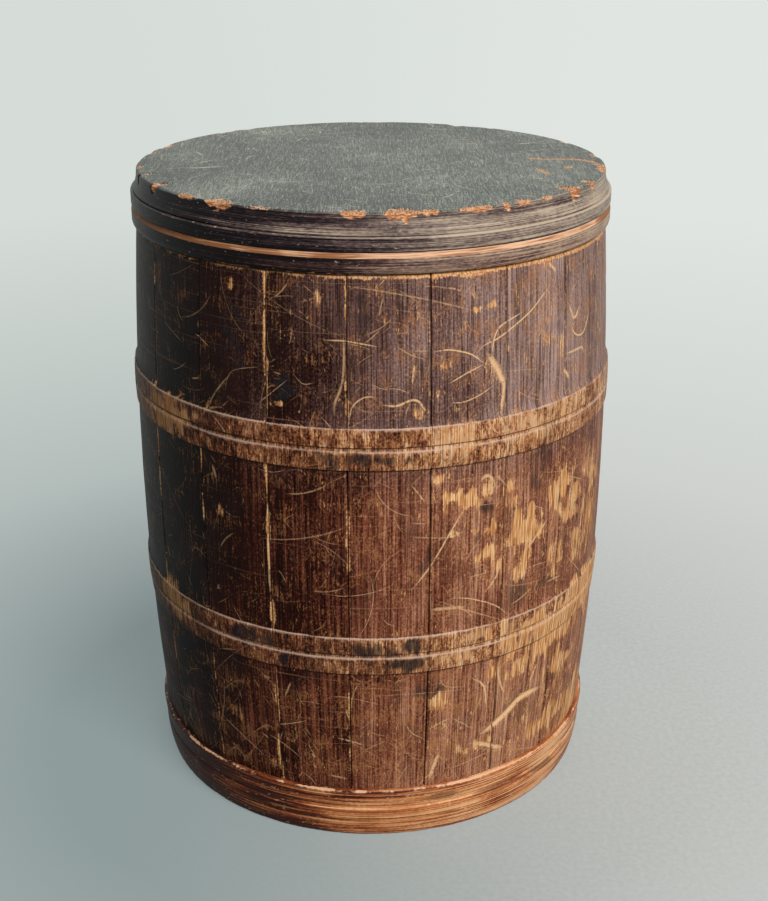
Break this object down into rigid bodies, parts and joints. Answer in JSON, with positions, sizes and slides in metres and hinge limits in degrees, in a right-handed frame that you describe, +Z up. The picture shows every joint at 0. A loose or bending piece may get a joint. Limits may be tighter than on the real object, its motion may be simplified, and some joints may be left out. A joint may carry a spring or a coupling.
{
  "type": "tobacco box",
  "caption": "Small coopered wooden keg for tobacco: upright staves with turned hoops between a moulded base and a collar, closed by a lift-off plug lid.",
  "frame": {"origin": "middle of the base's underside", "axes": "+Z up along the keg's axis, front towards -Y, +X to the right seen from the front"},
  "size_m": [0.1278, 0.1278, 0.1666],
  "materials": {
    "base_wood": "worn satin varnish",
    "stave_wood": "worn satin varnish",
    "collar_wood": "worn satin varnish",
    "lid_wood": "worn satin varnish"
  },
  "bodies": {
    "keg": {"base": "base_wood", "stave_01": "stave_wood", "stave_02": "stave_wood", "stave_03": "stave_wood", "stave_04": "stave_wood", "stave_05": "stave_wood", "stave_06": "stave_wood", "stave_07": "stave_wood", "stave_08": "stave_wood", "stave_09": "stave_wood", "stave_10": "stave_wood", "stave_11": "stave_wood", "stave_12": "stave_wood", "stave_13": "stave_wood", "stave_14": "stave_wood", "stave_15": "stave_wood", "stave_16": "stave_wood", "stave_17": "stave_wood", "stave_18": "stave_wood", "stave_19": "stave_wood", "stave_20": "stave_wood", "collar": "collar_wood"},
    "lid": {"lid": "lid_wood"}
  },
  "joints": [
    {"name": "lid_lift", "type": "slide", "parent": "keg", "child": "lid", "axis": [0, 0, 1], "range_m": [0, 0.12]}
  ]
}
